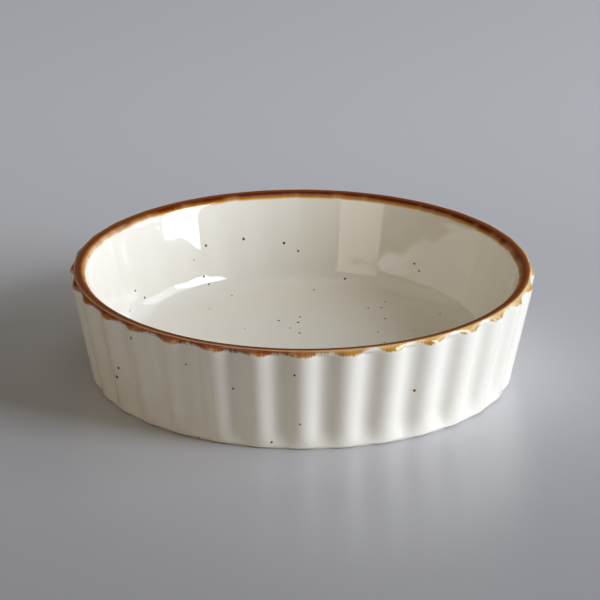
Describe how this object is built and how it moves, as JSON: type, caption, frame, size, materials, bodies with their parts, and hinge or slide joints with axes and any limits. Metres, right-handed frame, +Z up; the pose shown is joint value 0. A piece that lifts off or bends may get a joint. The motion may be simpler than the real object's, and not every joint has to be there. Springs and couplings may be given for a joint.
{
  "type": "creme brulee dish",
  "caption": "Shallow round stoneware baking dish with a fluted outside wall, a flat-floored well, cream glaze and a brown glazed rim, for baking and serving creme brulee.",
  "frame": {"origin": "middle of the foot ring, on the surface that the dish stands on", "axes": "+Z up along the dish's axis, towards the rim; -Y and +X each point at the middle of a lobe"},
  "size_m": [0.1206, 0.1206, 0.0286],
  "materials": {
    "clay": "dry unglazed stoneware",
    "cream_glaze": "glossy cream glaze with fine specks",
    "brown_glaze": "glossy streaked brown glaze"
  },
  "bodies": {
    "root": {"stoneware_body": "clay", "outside_glaze": "cream_glaze", "inside_glaze": "cream_glaze", "rim_band": "brown_glaze", "bottom_glaze": "cream_glaze"}
  },
  "joints": []
}
